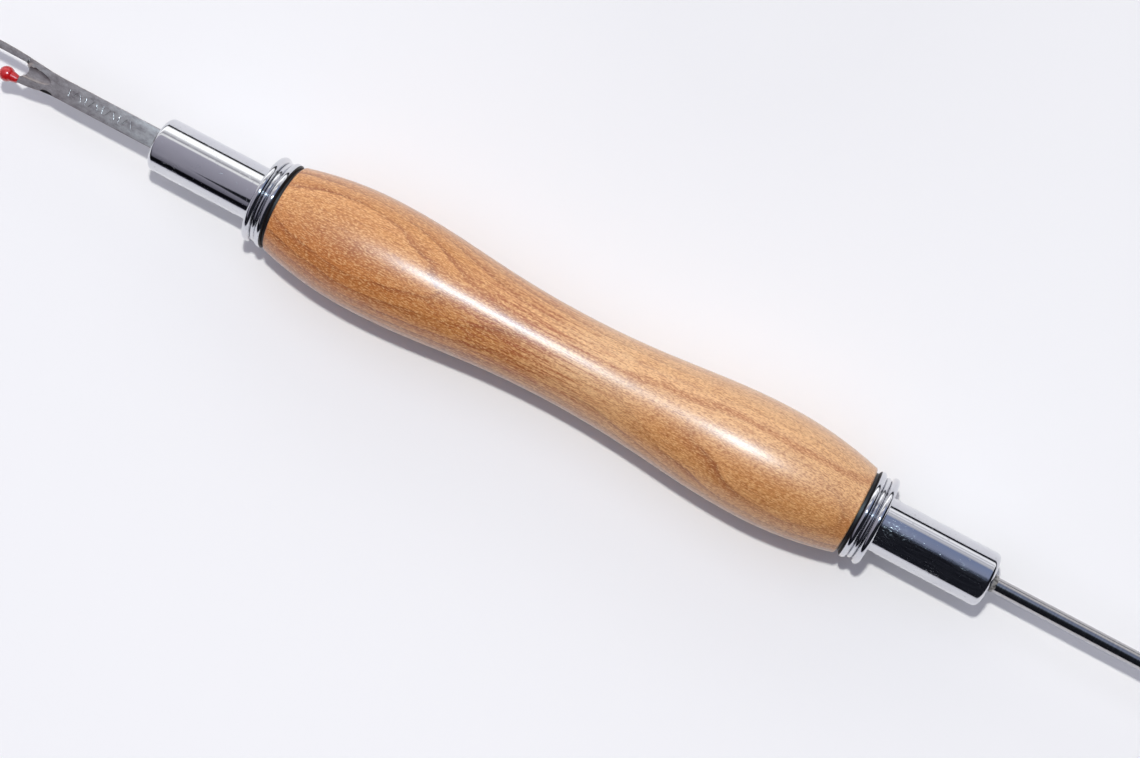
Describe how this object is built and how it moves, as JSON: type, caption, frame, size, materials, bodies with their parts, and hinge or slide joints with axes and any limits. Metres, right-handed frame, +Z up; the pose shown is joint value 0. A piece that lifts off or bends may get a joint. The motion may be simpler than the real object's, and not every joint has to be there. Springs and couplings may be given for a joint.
{
  "type": "seam ripper and stiletto",
  "caption": "Turned wooden handle with a forked seam ripper in one end and a round pointed stiletto in the other; each tool turns in an O-ring seat and pulls out to be stored inside.",
  "frame": {"origin": "on the surface the tool lies on, below the middle of its whole length and under its axis", "axes": "+X along the handle's axis towards the point of the stiletto, +Y the side of the ripper's long tine, +Z up from the surface"},
  "size_m": [0.2292, 0.0188, 0.0189],
  "materials": {
    "turned_wood": "glossy friction polish",
    "brass_tube": "drawn, inside the handle",
    "chrome_ferrule": "bright plated, turned beads",
    "chrome_holder": "bright plated, lightly scratched",
    "rubber_ring": "matt",
    "stamped_steel": "dull, pressed and ground",
    "polished_steel": "polished",
    "red_plastic": "moulded, glossy",
    "clear_epoxy": "set glue",
    "grey_epoxy": "set glue"
  },
  "bodies": {
    "handle": {"wood_handle": "turned_wood", "ripper_tube": "brass_tube", "stiletto_tube": "brass_tube", "ripper_ferrule": "chrome_ferrule", "stiletto_ferrule": "chrome_ferrule"},
    "ripper_seal": {"ripper_oring": "rubber_ring"},
    "ripper_tool": {"ripper_holder": "chrome_holder", "ripper_blade": "stamped_steel", "ripper_ball": "red_plastic", "ripper_glue": "clear_epoxy"},
    "stiletto_seal": {"stiletto_oring": "rubber_ring"},
    "stiletto_tool": {"stiletto_holder": "chrome_holder", "stiletto_rod": "polished_steel", "stiletto_glue": "grey_epoxy"}
  },
  "joints": [
    {"name": "ripper_turn", "type": "hinge", "parent": "handle", "child": "ripper_seal", "pos_m": [-0.05605, 0, 0.00945], "axis": [-1, 0, 0], "continuous": true},
    {"name": "ripper_pull", "type": "slide", "parent": "ripper_seal", "child": "ripper_tool", "axis": [-1, 0, 0], "range_m": [0, 0.022]},
    {"name": "stiletto_turn", "type": "hinge", "parent": "handle", "child": "stiletto_seal", "pos_m": [0.04835, 0, 0.00945], "axis": [1, 0, 0], "continuous": true},
    {"name": "stiletto_pull", "type": "slide", "parent": "stiletto_seal", "child": "stiletto_tool", "axis": [1, 0, 0], "range_m": [0, 0.022]}
  ]
}
